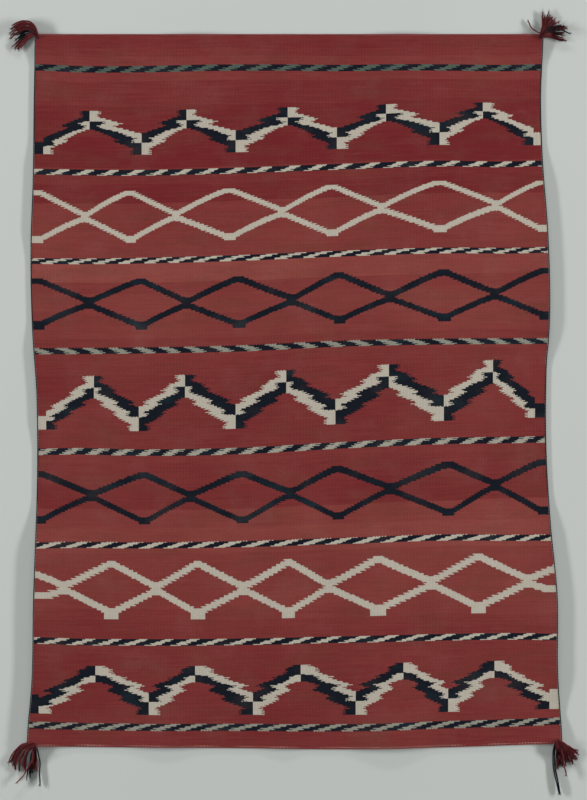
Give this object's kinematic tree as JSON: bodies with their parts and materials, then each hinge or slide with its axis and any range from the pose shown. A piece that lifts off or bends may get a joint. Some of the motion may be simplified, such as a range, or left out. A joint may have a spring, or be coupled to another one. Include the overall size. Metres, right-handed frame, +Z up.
{
  "type": "serape",
  "caption": "Tapestry-woven wool serape laid out flat, with zigzag, diamond and beaded bands, twined edge cords and a tassel at each corner.",
  "frame": {"origin": "middle of the blanket's underside, on the surface it lies on", "axes": "+Z up out of the cloth, +Y towards its top edge, +X towards its right edge, seen from above"},
  "size_m": [1.4578, 2.0024, 0.0112],
  "materials": {
    "woven_wool": "matt weft-faced wool, red ground with white and navy pattern",
    "indigo_yarn": "matt plied wool, near-black navy",
    "red_yarn": "matt plied wool, red",
    "tassel_yarn": "matt plied wool, red with a few navy strands"
  },
  "bodies": {
    "root": {"blanket": "woven_wool", "side_cord_left": "indigo_yarn", "side_cord_right": "indigo_yarn", "end_cord_top": "red_yarn", "end_cord_bottom": "red_yarn", "tassel_top_left": "tassel_yarn", "tassel_top_right": "tassel_yarn", "tassel_bottom_left": "tassel_yarn", "tassel_bottom_right": "tassel_yarn"}
  },
  "joints": []
}
